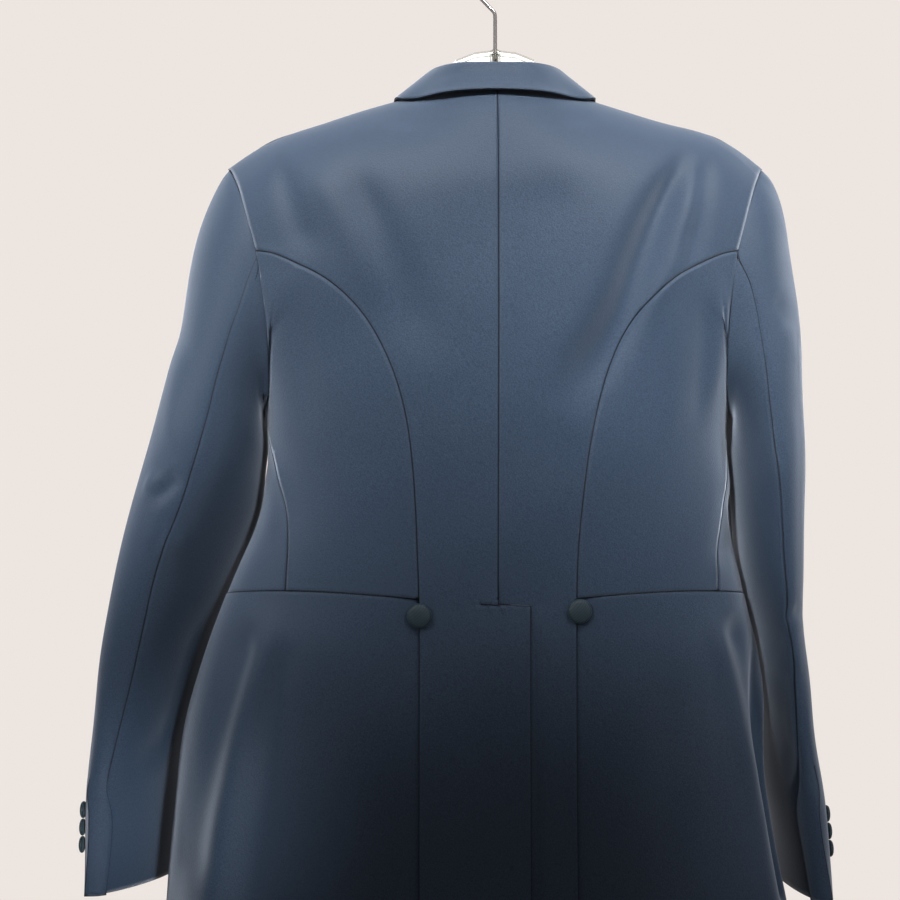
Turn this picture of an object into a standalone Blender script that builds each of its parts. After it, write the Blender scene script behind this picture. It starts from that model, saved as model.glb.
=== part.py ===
"""Morning coat on a clear hanger, hung by its hook, seen from its back.

Metres, +Z up. The origin is the inside of the hook's crown. The coat's front faces -Y and its own left
side is +X. The body follows one form: rounded sections at each height, closed over the shoulders. Every
panel is a grid on that form between its seams, thickened to a cloth wall. Sizes across the coat are
measured from its centre towards the side that a piece is on, and angles go round it from that side:
0 is the side, 90 the centre back and -90 the centre front.
"""
import math

import bpy
from mathutils import Vector

CLOTH = 0.0020         # thickness of one layer, with its canvas
SEAM = 0.0003          # gap between two pieces at a seam
LAP = 0.0030           # how far a layer lies above the one that it covers
SEAM_TRIM = 0.00021    # each piece's share of the gap, with room for the walls' tilt
SHOULDER_ROUND = 0.080  # height over which the body closes to the shoulder ridge
SQUARENESS = 2.5       # 2 is an ellipse, more is squarer

NECK_SIDE_X = 0.070    # where the neck seam meets the shoulder seam
NECK_BACK_Z = -0.128   # neck seam at the centre back
HEM_Z = -1.125
VENT_TOP_Z = -0.554
VENT_LAP_X = -0.0265   # edge of the left tail, lapped over the right one
PLEAT_X = 0.0645       # side edge of the tail
PLEAT_TUCK = 0.010     # how far the skirt runs in under the tail
FRONT_LAP_X = -0.014   # edge of each front, past the centre at the button
FRONT_BUTTON_Z = -0.540
ROLL_FOOT_Z = -0.520   # foot of the lapel's fold

# height, half width on the left, on the right, depth behind, depth in front
BODY = [
    (-0.080, 0.246, 0.246, 0.058, 0.055),
    (-0.130, 0.246, 0.246, 0.070, 0.064),
    (-0.160, 0.245, 0.245, 0.080, 0.076),
    (-0.200, 0.244, 0.244, 0.090, 0.090),
    (-0.250, 0.242, 0.243, 0.098, 0.102),
    (-0.300, 0.234, 0.236, 0.101, 0.108),
    (-0.350, 0.213, 0.216, 0.100, 0.110),
    (-0.400, 0.1975, 0.1992, 0.096, 0.110),
    (-0.420, 0.1966, 0.1992, 0.094, 0.110),
    (-0.436, 0.1966, 0.2000, 0.092, 0.109),
    (-0.450, 0.1980, 0.2015, 0.090, 0.108),
    (-0.476, 0.2006, 0.2042, 0.086, 0.106),
    (-0.500, 0.2097, 0.2062, 0.083, 0.104),
    (-0.532, 0.2237, 0.2110, 0.080, 0.102),
    (-0.563, 0.2370, 0.2180, 0.079, 0.100),
    (-0.600, 0.2520, 0.2300, 0.081, 0.099),
    (-0.640, 0.2645, 0.2340, 0.084, 0.099),
    (-0.680, 0.2728, 0.2345, 0.088, 0.100),
    (-0.730, 0.2775, 0.2360, 0.092, 0.101),
    (-0.820, 0.2860, 0.2555, 0.099, 0.103),
    (-0.950, 0.2930, 0.2650, 0.106, 0.105),
    (-1.130, 0.2980, 0.2700, 0.114, 0.108),
]

# distance from the centre, height of the shoulder ridge
RIDGE = [
    (0.000, -0.0850), (0.030, -0.0940), (0.050, -0.1080), (0.070, -0.1215), (0.085, -0.1255),
    (0.100, -0.1300), (0.125, -0.1370), (0.145, -0.1438), (0.170, -0.1500), (0.193, -0.1565),
    (0.204, -0.1630), (0.218, -0.1740), (0.232, -0.1835), (0.260, -0.2100),
]

# height, distance of the armhole from the centre behind, and in front
ARMHOLE = [
    (-0.1835, 0.2320, 0.2320), (-0.1885, 0.2270, 0.2265), (-0.2120, 0.2150, 0.2125),
    (-0.2360, 0.2075, 0.2020), (-0.2620, 0.2000, 0.1940), (-0.2820, 0.1965, 0.1890),
    (-0.3065, 0.1925, 0.1850), (-0.3400, 0.1905, 0.1835), (-0.3700, 0.1915, 0.1870),
    (-0.3900, 0.1945, 0.1935), (-0.3980, 0.1990, 0.1990),
]
TIP_X = 0.2320
ARMHOLE_CORNER_Z = -0.262   # where the curved back seam starts
ARMHOLE_FOOT_Z = -0.398

# height, distance of the curved back seam from the centre on the left, and on the right
BACK_SEAM = [
    (-0.2620, 0.2000, 0.2000), (-0.2640, 0.1870, 0.1890), (-0.2720, 0.1696, 0.1700),
    (-0.2820, 0.1477, 0.1490), (-0.2935, 0.1315, 0.1340), (-0.3120, 0.1125, 0.1165),
    (-0.3370, 0.0965, 0.1005), (-0.3640, 0.0840, 0.0893), (-0.3950, 0.0750, 0.0790),
    (-0.4300, 0.0698, 0.0730), (-0.4645, 0.0675, 0.0685), (-0.5100, 0.0660, 0.0655),
    (-0.5540, 0.0645, 0.0645),
]
BACK_SEAM_ROWS = [-0.2640, -0.2680, -0.2740, -0.2830, -0.2950, -0.3130, -0.3370, -0.3660, -0.4000,
                  -0.4450, -0.5000, -0.5300]
WAIST_BACK_Z = -0.5492      # where the waist seam meets the curved back seam
SIDE_SEAM_STEPS = 9

# height, angle of the underarm seam on the left, and on the right
SIDE_SEAM = [
    (-0.3980, 8.0, 8.0), (-0.4180, 17.0, 12.0), (-0.4400, 25.0, 18.0), (-0.4655, 32.0, 24.0),
    (-0.5100, 40.5, 32.0), (-0.5600, 45.5, 37.0),
]

# angle, height of the waist seam
WAIST = [
    (-100.0, -0.568), (-60.0, -0.560), (-30.0, -0.556), (0.0, -0.5524), (20.0, -0.5485),
    (40.0, -0.5445), (50.0, -0.5440), (65.0, -0.5465), (80.0, -0.5515),
]

# height, angle of the skirt's front edge, cut away from the button back to the hem
CUTAWAY = [
    (-0.5680, -97.0), (-0.5850, -88.0), (-0.6100, -77.0), (-0.6500, -64.0), (-0.7000, -52.0),
    (-0.7600, -40.0), (-0.8300, -29.0), (-0.9100, -18.0), (-1.0000, -7.0), (-1.0700, 3.0),
    (-1.1050, 12.0), (-1.1250, 26.0),
]

# one fold a row: angle round from the left side and height at its top, the same at its foot,
# width in degrees, rise
FOLDS = [
    (42.0, -0.556, 35.0, -1.000, 7.0, 0.0070),
    (50.0, -0.600, 51.0, -0.900, 7.0, -0.0060),
    (22.0, -0.640, 18.0, -1.050, 7.0, -0.0050),
    (149.0, -0.556, 150.0, -1.000, 8.0, 0.0050),
    (165.0, -0.556, 166.0, -0.860, 8.0, -0.0100),
    (128.0, -0.165, 110.0, -0.400, 6.0, -0.0040),
    (119.0, -0.200, 103.0, -0.450, 6.0, 0.0030),
    (142.0, -0.180, 134.0, -0.330, 6.0, -0.0030),
    (50.0, -0.190, 66.0, -0.400, 8.0, -0.0025),
]
FOLD_FADE = 0.060      # height over which a fold starts and dies out

# outer edge x and z, inner edge x and z, middle y, half depth, lean, share of the way in to the hind seam
SLEEVE = {
    "left": [
        (0.2320, -0.1835, 0.1960, -0.3980, 0.000, 0.0660, 0.00, 0.39),
        (0.2361, -0.1880, 0.1985, -0.4020, 0.000, 0.0670, 0.00, 0.45),
        (0.2474, -0.2119, 0.1985, -0.4060, 0.000, 0.0690, 0.00, 0.50),
        (0.2570, -0.2406, 0.1985, -0.4110, 0.000, 0.0700, 0.00, 0.51),
        (0.2640, -0.2720, 0.1985, -0.4170, 0.000, 0.0710, 0.00, 0.52),
        (0.2690, -0.3016, 0.1987, -0.4230, 0.000, 0.0715, 0.00, 0.51),
        (0.2715, -0.3234, 0.1990, -0.4290, 0.000, 0.0715, 0.02, 0.50),
        (0.2768, -0.3416, 0.1997, -0.4360, 0.000, 0.0705, 0.05, 0.51),
        (0.2875, -0.3817, 0.2015, -0.4500, 0.000, 0.0690, 0.10, 0.50),
        (0.2971, -0.4183, 0.2040, -0.4760, -0.002, 0.0650, 0.20, 0.46),
        (0.3065, -0.4500, 0.2135, -0.5010, -0.005, 0.0610, 0.30, 0.46),
        (0.3248, -0.5172, 0.2265, -0.5324, -0.012, 0.0560, 0.45, 0.38),
        (0.3332, -0.5578, 0.2375, -0.5631, -0.018, 0.0530, 0.55, 0.38),
        (0.3416, -0.6117, 0.2530, -0.6080, -0.026, 0.0510, 0.62, 0.37),
        (0.3500, -0.6674, 0.2735, -0.6685, -0.034, 0.0500, 0.68, 0.32),
        (0.3536, -0.7066, 0.2810, -0.7090, -0.038, 0.0490, 0.72, 0.26),
        (0.3550, -0.7230, 0.2832, -0.7250, -0.039, 0.0485, 0.74, 0.24),
        (0.3562, -0.7395, 0.2853, -0.7420, -0.040, 0.0480, 0.76, 0.22),
        (0.3575, -0.7760, 0.2890, -0.7770, -0.042, 0.0480, 0.79, 0.20),
        (0.3580, -0.8130, 0.2915, -0.8130, -0.043, 0.0475, 0.80, 0.16),
    ],
    "right": [
        (0.2320, -0.1835, 0.1990, -0.3980, 0.000, 0.0660, 0.00, 0.39),
        (0.2408, -0.1905, 0.2017, -0.4020, 0.000, 0.0670, 0.00, 0.45),
        (0.2494, -0.2155, 0.2018, -0.4060, 0.000, 0.0690, 0.00, 0.52),
        (0.2543, -0.2500, 0.2020, -0.4110, 0.000, 0.0700, 0.00, 0.55),
        (0.2590, -0.2850, 0.2022, -0.4170, 0.000, 0.0710, 0.00, 0.57),
        (0.2620, -0.3200, 0.2026, -0.4240, 0.000, 0.0720, 0.00, 0.60),
        (0.2640, -0.3550, 0.2033, -0.4320, 0.000, 0.0725, 0.00, 0.60),
        (0.2650, -0.3920, 0.2045, -0.4430, 0.000, 0.0725, 0.00, 0.60),
        (0.2654, -0.4300, 0.2062, -0.4560, 0.000, 0.0720, 0.02, 0.56),
        (0.2654, -0.4640, 0.2080, -0.4810, -0.002, 0.0700, 0.05, 0.52),
        (0.2640, -0.5089, 0.2110, -0.5141, -0.005, 0.0660, 0.10, 0.47),
        (0.2645, -0.5400, 0.2160, -0.5431, -0.009, 0.0630, 0.15, 0.46),
        (0.2640, -0.5693, 0.2222, -0.5693, -0.013, 0.0610, 0.20, 0.46),
        (0.2672, -0.6038, 0.2335, -0.6020, -0.019, 0.0580, 0.25, 0.47),
        (0.2745, -0.6520, 0.2385, -0.6500, -0.026, 0.0560, 0.30, 0.50),
        (0.2810, -0.7000, 0.2435, -0.7000, -0.031, 0.0540, 0.40, 0.53),
        (0.2842, -0.7190, 0.2463, -0.7190, -0.033, 0.0535, 0.43, 0.52),
        (0.2870, -0.7368, 0.2490, -0.7368, -0.034, 0.0530, 0.45, 0.51),
        (0.2910, -0.7750, 0.2550, -0.7750, -0.036, 0.0520, 0.50, 0.44),
        (0.2930, -0.8160, 0.2605, -0.8160, -0.037, 0.0520, 0.55, 0.35),
    ],
}
CAP_RINGS = 8          # rings over which the sleeve leaves the armhole's own curve
SLEEVE_FRONT_SEAM = 0.78   # share of the way in to the sleeve's front seam
VENT_RINGS = 4         # rings of the cuff's vent, up from the hem
ARMHOLE_GAP = 0.0009   # sideways gap at the armhole seam
ARMHOLE_LIFT = 0.0044  # how far the sleeve stands off the body below the arm
SLEEVE_TRIM = 0.00042  # wider than on the body, because the walls meet at an angle
VENT_LAP_TURN = 14.0   # degrees by which the top sleeve laps over the under sleeve there
VENT_LIFT = 0.0034
VENT_FLARE = 0.0020    # how much further the vent's lower corner stands out

# way along half the collar: 0 the centre back, 1 the shoulder, then the share down the lapel's fold;
# direction out, stand height, inward lean, x and z of the fall's edge
COLLAR = [
    (0.000, 90.0, 0.0285, 0.53, 0.0000, -0.1315),
    (0.260, 76.0, 0.0285, 0.53, 0.0240, -0.1320),
    (0.500, 61.0, 0.0285, 0.54, 0.0470, -0.1335),
    (0.710, 45.0, 0.0280, 0.56, 0.0660, -0.1340),
    (0.880, 28.0, 0.0270, 0.58, 0.0780, -0.1325),
    (0.960, 14.0, 0.0265, 0.60, 0.0840, -0.1295),
    (1.000, 0.0, 0.0255, 0.61, 0.0868, -0.1261),
    (1.030, -10.0, 0.0220, 0.60, 0.0900, -0.1340),
    (1.070, -20.0, 0.0160, 0.55, 0.0960, -0.1480),
    (1.118, -30.0, 0.0100, 0.45, 0.1040, -0.1655),
]
COLLAR_STATIONS = [0.0, 0.13, 0.26, 0.38, 0.50, 0.61, 0.71, 0.80, 0.88, 0.93, 0.965, 0.985, 1.0,
                   1.008, 1.018, 1.032, 1.050, 1.070, 1.093, 1.118]
COLLAR_FOLD = 0.0027   # radius of the collar's fold
COLLAR_LIFT = 0.0034   # how far the fall lies above the panels
STAND_CLEAR = (0.0010, 0.0019)   # height of the stand above the neck seam, behind and at the side

LEFT_FRONT_LIFT = 0.0017    # at the centre the left front lies over the right one and its lapel
RIGHT_FRONT_LIFT = -0.0047
LAPEL_LIFT = 0.0032

# share down the fold, width of the lapel there, how far its outer edge is above the fold's point
LAPEL = [
    (0.128, 0.0700, 0.0060), (0.200, 0.0680, 0.0000), (0.300, 0.0640, -0.0020), (0.450, 0.0540, -0.0020),
    (0.600, 0.0420, -0.0010), (0.750, 0.0290, 0.0000), (0.880, 0.0160, 0.0000), (0.975, 0.0050, 0.0000),
]

WAIST_BUTTON = 0.0200
FRONT_BUTTON = 0.0200
CUFF_BUTTON = 0.0143
CUFF_BUTTON_PITCH = 0.0152
BUTTON_CLEAR = 0.0009        # a button's back above the cloth, which bends under it
WAIST_BUTTON_CLEAR = 0.0012
CUFF_BUTTON_Z = {"left": -0.7410, "right": -0.7460}
WAIST_BUTTON_AT = {"left": (0.0645, -0.5628), "right": (0.0665, -0.5590)}

HOOK_WIRE = 0.0019     # radius
HOOK_CURVE = 0.0200    # radius of the crook's centre line
BEND_Z = -0.0464       # where the stem turns off to the crook
BEND_RADIUS = 0.0070
BOSS_TOP_Z = -0.0795
BOSS_FOOT_Z = -0.1000
BOSS_RADIUS = 0.0050
STEM_FOOT_Z = -0.0920
ARM_END_X = 0.192
RIB_WIDTH = 0.0120
RIB_THICK = 0.0026
WEB_THICK = 0.0030
WEB_HEIGHT = 0.0150
HANGER_CLEAR = 0.0012  # under the cloth, with room for its facets
ARM_DROOP = 0.0030     # the arms turn down at their ends

# distance from the centre, top of the hanger between its boss and the shoulders
ARCH = [
    (0.000, -0.0800), (0.018, -0.0822), (0.034, -0.0885), (0.044, -0.0990), (0.053, -0.1115),
    (0.062, -0.1220), (0.075, -0.1268), (0.092, -0.1300),
]


def slope(keys, values, n):
    """Slope of a smooth curve at row n, which makes no new peak."""
    last = len(keys) - 1
    before = (values[n] - values[n - 1]) / (keys[n] - keys[n - 1]) if n > 0 else None
    after = (values[n + 1] - values[n]) / (keys[n + 1] - keys[n]) if n < last else None
    if before is None or after is None:
        return after if before is None else before
    if before * after <= 0:
        return 0.0
    return 2 * before * after / (before + after)


def read(table, column, at, key=0):
    """Value of one column where the key column is at, on a smooth curve through the rows."""
    rows = sorted(table, key=lambda row: row[key])
    keys = [row[key] for row in rows]
    values = [row[column] for row in rows]
    if at <= keys[0]:
        return values[0]
    if at >= keys[-1]:
        return values[-1]
    i = next(n for n in range(len(keys) - 1) if at <= keys[n + 1])
    width = keys[i + 1] - keys[i]
    t = (at - keys[i]) / width
    start = values[i] * (2 * t**3 - 3 * t**2 + 1) + width * slope(keys, values, i) * (t**3 - 2 * t**2 + t)
    end = values[i + 1] * (3 * t**2 - 2 * t**3) + width * slope(keys, values, i + 1) * (t**3 - t**2)
    return start + end


def side_column(side):
    return 1 if side == "left" else 2


def ease(t):
    t = min(max(t, 0.0), 1.0)
    return t * t * (3 - 2 * t)


def mix(a, b, t):
    return a + (b - a) * t


def spread(start, end, count):
    """Count equal steps from start to end, both included."""
    return [mix(start, end, n / count) for n in range(count + 1)]


def ridge(x):
    return read(RIDGE, 1, abs(x))


def half_width(x, z):
    return read(BODY, 1 if x >= 0 else 2, z)


def world_x(x, side):
    return x if side == "left" else -x


def angle_at(x, z, side, front=False):
    """Angle on the form of the place at x, measured towards the piece's own side."""
    across = min(abs(x) / half_width(world_x(x, side), z), 1.0)
    deep = (1 - across**SQUARENESS) ** (1 / SQUARENESS)
    turn = math.degrees(math.atan2(deep, across if x >= 0 else -across))
    return -turn if front else turn


def fold(turn, z):
    """How far the folds lift the cloth, turn being the angle round from the left side."""
    lift = 0.0
    for top_turn, top_z, foot_turn, foot_z, width, rise in FOLDS:
        middle = mix(top_turn, foot_turn, (z - top_z) / (foot_z - top_z))
        fade = ease((top_z - z) / FOLD_FADE) * ease((z - foot_z) / FOLD_FADE)
        lift += rise * fade * math.exp(-(((turn - middle) / width) ** 2))
    return lift


def form(angle, z, side, out=0.0):
    """Point of the coat's middle surface at an angle and a height, moved out by out."""
    turn = angle if side == "left" else 180 - angle
    cos, sin = math.cos(math.radians(turn)), math.sin(math.radians(turn))
    reach = (abs(cos) ** SQUARENESS + abs(sin) ** SQUARENESS) ** (-1 / SQUARENESS)
    wide = half_width(cos, z)
    deep = read(BODY, 3 if sin >= 0 else 4, z)
    x = wide * reach * cos
    below = min(max((ridge(x) - z) / SHOULDER_ROUND, 0.0), 1.0)
    y = deep * reach * sin * math.sqrt(1 - (1 - below) ** 2)
    aside = Vector((cos / wide, sin / deep, 0.0)).normalized()
    over = Vector((aside.x * below, aside.y * below, 1 - below)).normalized()
    return Vector((x, y, z)) + over * (out + fold(turn, z))


def patch(inner, outer, top, fade_rows, pace=1.0):
    """Angle and height over a panel: rows between two edges, the first ones bent to follow the top.

    inner and outer hold one (angle, height) a row, and top one a column.
    """
    rows = []
    for r, (a, b) in enumerate(zip(inner, outer)):
        fade = ease(1 - r / fade_rows)
        row = []
        for c, edge in enumerate(top):
            u = (c / (len(top) - 1)) ** pace
            place = [mix(a[k], b[k], u) + (edge[k] - mix(inner[0][k], outer[0][k], u)) * fade for k in (0, 1)]
            row.append(tuple(place))
        rows.append(row)
    return rows


def trim(points, gap=SEAM_TRIM):
    """Draws all four edges of a grid in by a share of the seam's gap."""
    across = [list(row) for row in points]
    for row, old in zip(across, points):
        row[0] = old[0] + (old[1] - old[0]).normalized() * gap
        row[-1] = old[-1] + (old[-2] - old[-1]).normalized() * gap
    trimmed = [list(row) for row in across]
    for c in range(len(points[0])):
        trimmed[0][c] = across[0][c] + (across[1][c] - across[0][c]).normalized() * gap
        trimmed[-1][c] = across[-1][c] + (across[-2][c] - across[-1][c]).normalized() * gap
    return trimmed


def add_object(name, mesh, material):
    obj = bpy.data.objects.new(name, mesh)
    coat.objects.link(obj)
    mesh.materials.append(material)
    return obj


def sheet(name, points, material, flip):
    """A cloth wall: a grid of points as a surface, thickened to both sides."""
    columns = len(points[0])
    faces = []
    for r in range(len(points) - 1):
        for c in range(columns - 1):
            a = r * columns + c
            face = (a, a + 1, a + columns + 1, a + columns)
            faces.append(face[::-1] if flip else face)
    mesh = bpy.data.meshes.new(name)
    mesh.from_pydata([tuple(p) for row in points for p in row], [], faces)
    mesh.shade_smooth()
    obj = add_object(name, mesh, material)
    wall = obj.modifiers.new("Cloth", "SOLIDIFY")
    wall.thickness = CLOTH
    wall.offset = 0.0
    return obj


def make_material(name, color, roughness, metallic=0.0):
    material = bpy.data.materials.new(name)
    material.use_nodes = True
    shader = material.node_tree.nodes["Principled BSDF"]
    shader.inputs["Base Color"].default_value = (*color, 1.0)
    shader.inputs["Roughness"].default_value = roughness
    shader.inputs["Metallic"].default_value = metallic
    return material


DROPS = (0.0, 0.0012, 0.0045, 0.0100, 0.0175, 0.0280)   # first rows below the shoulder ridge


def neck_z(x):
    """Height of the neck seam behind, from the centre back out to the shoulder."""
    return mix(NECK_BACK_Z, ridge(NECK_SIDE_X), (x / NECK_SIDE_X) ** 2)


def tail_lift(x, z):
    """The left tail rises over the right one from above the vent's top."""
    return LAP * ease((0.050 - x) / 0.050) * ease((VENT_TOP_Z + 0.030 - z) / 0.030)


def back_panel(side):
    """Centre back and tail in one, from the neck and shoulder seams to the hem."""
    top = [(angle_at(x, neck_z(x), side), neck_z(x)) for x in spread(0.0, NECK_SIDE_X, 3)]
    top += [(angle_at(x, ridge(x), side), ridge(x)) for x in spread(NECK_SIDE_X, TIP_X, 6)[1:]]

    armhole_z = [ARMHOLE[0][0] - drop for drop in DROPS] + [-0.2360, ARMHOLE_CORNER_Z]
    tail_z = [VENT_TOP_Z + 0.0005, VENT_TOP_Z - 0.0005, -0.6200, -0.7000, -0.8000, -0.9000, -1.0100, HEM_Z]
    outer = [(angle_at(read(ARMHOLE, 1, z), z, side), z) for z in armhole_z]
    for z in BACK_SEAM_ROWS + tail_z:
        x = read(BACK_SEAM, side_column(side), z) if z > VENT_TOP_Z else PLEAT_X
        outer.append((angle_at(x, z, side), z))

    neck = [NECK_BACK_Z - drop for drop in DROPS]
    level = len(armhole_z) + BACK_SEAM_ROWS.index(-0.3660)
    inner_z = neck + spread(neck[-1], -0.3660, level - len(neck) + 1)[1:]
    inner_z += [place[1] for place in outer[level + 1:]]
    inner = []
    for z in inner_z:
        x = VENT_LAP_X if side == "left" and z < VENT_TOP_Z else 0.0
        inner.append((angle_at(x, z, side), z))

    points = []
    for row in patch(inner, outer, top, fade_rows=len(DROPS) + 8):
        lifts = [tail_lift(form(angle, z, side).x, z) if side == "left" else 0.0 for angle, z in row]
        points.append([form(angle, z, side, lift) for (angle, z), lift in zip(row, lifts)])
    return sheet(f"back_{side}", trim(points), WORSTED, flip=side == "left")


def waist_seam(angle):
    return angle, read(WAIST, 1, angle)


def waist_corner(side):
    """Where the waist seam meets the curved back seam and the tail."""
    x = read(BACK_SEAM, side_column(side), WAIST_BACK_Z)
    return waist_seam(angle_at(x, WAIST_BACK_Z, side))


def side_seam_places(side):
    """Places down the underarm seam, from the armhole to the waist."""
    column = side_column(side)
    foot = waist_seam(read(SIDE_SEAM, column, -0.546))
    heights = spread(ARMHOLE_FOOT_Z, foot[1], SIDE_SEAM_STEPS)[:-1]
    return [(read(SIDE_SEAM, column, z), z) for z in heights] + [foot]


def side_body(side):
    """Side body between the curved back seam and the underarm seam, armhole to waist."""
    top_foot = -0.3700
    top = [(angle_at(read(ARMHOLE, 1, z), z, side), z) for z in spread(ARMHOLE_CORNER_Z, top_foot, 5)]
    inner_z = [ARMHOLE_CORNER_Z] + BACK_SEAM_ROWS
    inner = [(angle_at(read(BACK_SEAM, side_column(side), z), z, side), z) for z in inner_z]
    inner.append(waist_corner(side))

    rest = spread(top_foot, ARMHOLE_FOOT_Z, len(inner) - SIDE_SEAM_STEPS - 1)[:-1]
    outer = [(angle_at(read(ARMHOLE, 1, z), z, side), z) for z in rest]
    outer += side_seam_places(side)
    rows = patch(inner, outer, top, fade_rows=7)
    rows[-1] = [waist_seam(angle) for angle, z in rows[-1]]
    points = [[form(angle, z, side) for angle, z in row] for row in rows]
    return sheet(f"side_body_{side}", trim(points), WORSTED, flip=side == "left")


def roll_line(t):
    """Place on the lapel's fold, x and height, from the neck point down to its foot."""
    return mix(NECK_SIDE_X, FRONT_LAP_X, t), mix(ridge(NECK_SIDE_X), ROLL_FOOT_Z, t)


def front_point(angle, z, side, out=0.0):
    """Point on a front. The left front lies over the right one where they cross."""
    x = abs(form(angle, z, side).x) if angle > -90 else 0.0
    over = (LEFT_FRONT_LIFT if side == "left" else RIGHT_FRONT_LIFT) * ease((0.060 - x) / 0.045)
    return form(angle, z, side, out + (over if angle < 0 else 0.0))


def front_at_x(x, z, side, out=0.0):
    return front_point(angle_at(x, z, side, front=True), z, side, out)


def forepart(side):
    """Forepart, from the shoulder and armhole to the waist seam and the lapel's fold."""
    top = [(angle_at(x, ridge(x), side, True), ridge(x)) for x in spread(NECK_SIDE_X, TIP_X, 9)]
    outer_z = [ARMHOLE[0][0] - drop for drop in DROPS] + [-0.2360, -0.2620, -0.2900, -0.3200, -0.3500, -0.3780]
    outer = [(angle_at(read(ARMHOLE, 2, z), z, side, True), z) for z in outer_z]
    outer += side_seam_places(side)

    length = ridge(NECK_SIDE_X) - ROLL_FOOT_Z
    shares = [drop / length for drop in DROPS]
    shares += [mix(shares[-1], 1.0, t**1.4) for t in spread(0.0, 1.0, len(outer) - len(shares) - 1)[1:]]
    inner = []
    for share in shares:
        x, z = roll_line(share)
        inner.append((angle_at(x, z, side, True), z))
    inner.append(waist_seam(angle_at(FRONT_LAP_X, WAIST[0][1], side, True)))
    rows = patch(inner, outer, top, fade_rows=len(DROPS) + 3)
    rows[-1] = [waist_seam(angle) for angle, z in rows[-1]]
    points = [[front_point(angle, z, side) for angle, z in row] for row in rows]
    return sheet(f"forepart_{side}", trim(points), WORSTED, flip=side == "right")


def skirt(side):
    """Skirt from the waist seam to the hem, tucked under the tail and cut away in front."""
    levels = [-0.5600, -0.5750, -0.5950, -0.6250, -0.6600, -0.7000, -0.7500, -0.8100, -0.8700, -0.9300]
    levels += [-0.9900, -1.0400, -1.0800, -1.1080, HEM_Z]
    rear_top = waist_corner(side)
    front_top = waist_seam(CUTAWAY[0][1])
    rear = [rear_top]
    front = [front_top]
    for z in levels:
        tuck = PLEAT_TUCK * ease((VENT_TOP_Z - z) / 0.030)
        rear.append((angle_at(PLEAT_X - tuck, z, side), z))
        low = mix(CUTAWAY[0][0], HEM_Z, (z - rear_top[1]) / (HEM_Z - rear_top[1]))
        front.append((read(CUTAWAY, 1, low), low))
    columns = 16
    pace = 1.25
    top = [waist_seam(mix(rear_top[0], front_top[0], (c / columns) ** pace)) for c in range(columns + 1)]
    points = []
    for row in patch(rear, front, top, fade_rows=5, pace=pace):
        line = []
        for angle, z in row:
            x = abs(form(angle, z, side).x)
            under = -LAP * ease((PLEAT_X + 0.020 - x) / 0.020) if angle > 0 else 0.0
            line.append(front_point(angle, z, side, under))
        points.append(line)
    return sheet(f"skirt_{side}", trim(points, SEAM), WORSTED, flip=side == "left")


def lapel(side):
    """Lapel turned back over the forepart: its fold, its peak at the gorge, its point at the button."""
    points = []
    for t in spread(0.0, 1.0, 17):
        share = mix(LAPEL[0][0], LAPEL[-1][0], t**1.6)
        x, z = roll_line(share)
        width, up = read(LAPEL, 1, share), read(LAPEL, 2, share)
        line = []
        for u in spread(0.0, 1.0, 5):
            line.append(front_at_x(x + width * u, z + up * u, side, LAPEL_LIFT))
        points.append(line)
    return sheet(f"lapel_{side}", trim(points), WORSTED, flip=side == "left")


def collar_section(way, side):
    """Points across the collar at one station: up the stand, round the fold, down the fall."""
    direction, height, lean, fall_x, fall_z = [read(COLLAR, column, way) for column in range(1, 6)]
    if way > 1.0:
        x, z = roll_line(way - 1.0)
        seam = front_at_x(x, z, side)
        edge = front_at_x(fall_x, fall_z, side, COLLAR_LIFT)
    else:
        x = way * NECK_SIDE_X
        seam = form(angle_at(x, neck_z(x), side), neck_z(x), side)
        edge = form(angle_at(fall_x, fall_z, side), fall_z, side, COLLAR_LIFT)
    turn = math.radians(direction)
    out = Vector((world_x(math.cos(turn), side), math.sin(turn), 0.0))
    up = (Vector((0, 0, math.sqrt(1 - lean**2))) - out * lean).normalized()
    clear = mix(STAND_CLEAR[0], STAND_CLEAR[1], ease(way))
    stand = [seam + up * mix(clear, height, t) for t in (0.0, 0.5, 1.0)]
    middle = seam + up * height + out * COLLAR_FOLD
    bend = [middle - out * COLLAR_FOLD * math.cos(a) + up * COLLAR_FOLD * math.sin(a)
            for a in (math.radians(d) for d in (45, 90, 135, 180))]
    fall = [bend[-1].lerp(edge, t) for t in (0.34, 0.67, 1.0)]
    return stand + bend + fall


def collar():
    """Collar, stand and fall in one, round the neck from one gorge to the other."""
    left = [collar_section(way, "left") for way in COLLAR_STATIONS]
    right = [collar_section(way, "right") for way in COLLAR_STATIONS[1:]]
    return sheet("collar", right[::-1] + left, WORSTED, flip=False)


def sleeve_place(row, side, turn):
    """Point on a sleeve's ring: turn 0 is about its outer side, 90 its back, 180 next to the body."""
    outer_x, outer_z, inner_x, inner_z, mid_y, half_depth, lean, hind = row
    e = math.radians(turn)
    across = math.sqrt(1 - lean**2) * math.cos(e) + lean * math.sin(e)
    x = mix(outer_x, inner_x, (1 - across) / 2)
    z = mix(outer_z, inner_z, (1 - across) / 2)
    return Vector((world_x(x, side), mid_y + half_depth * math.sin(e), z))


def armhole_place(side, turn):
    """Point just outside the armhole seam, level with the same turn on the first ring."""
    e = math.radians(turn)
    z = mix(ARMHOLE[0][0], ARMHOLE_FOOT_Z, (1 - math.cos(e)) / 2)
    in_front = math.sin(e) < 0
    x = read(ARMHOLE, 2 if in_front else 1, z)
    low = 180 - abs(turn % 360 - 180)
    lift = ARMHOLE_LIFT * ease((low - 50) / 80)
    return form(angle_at(x, z, side, in_front), z, side, lift) + Vector((world_x(ARMHOLE_GAP, side), 0, 0))


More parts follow.
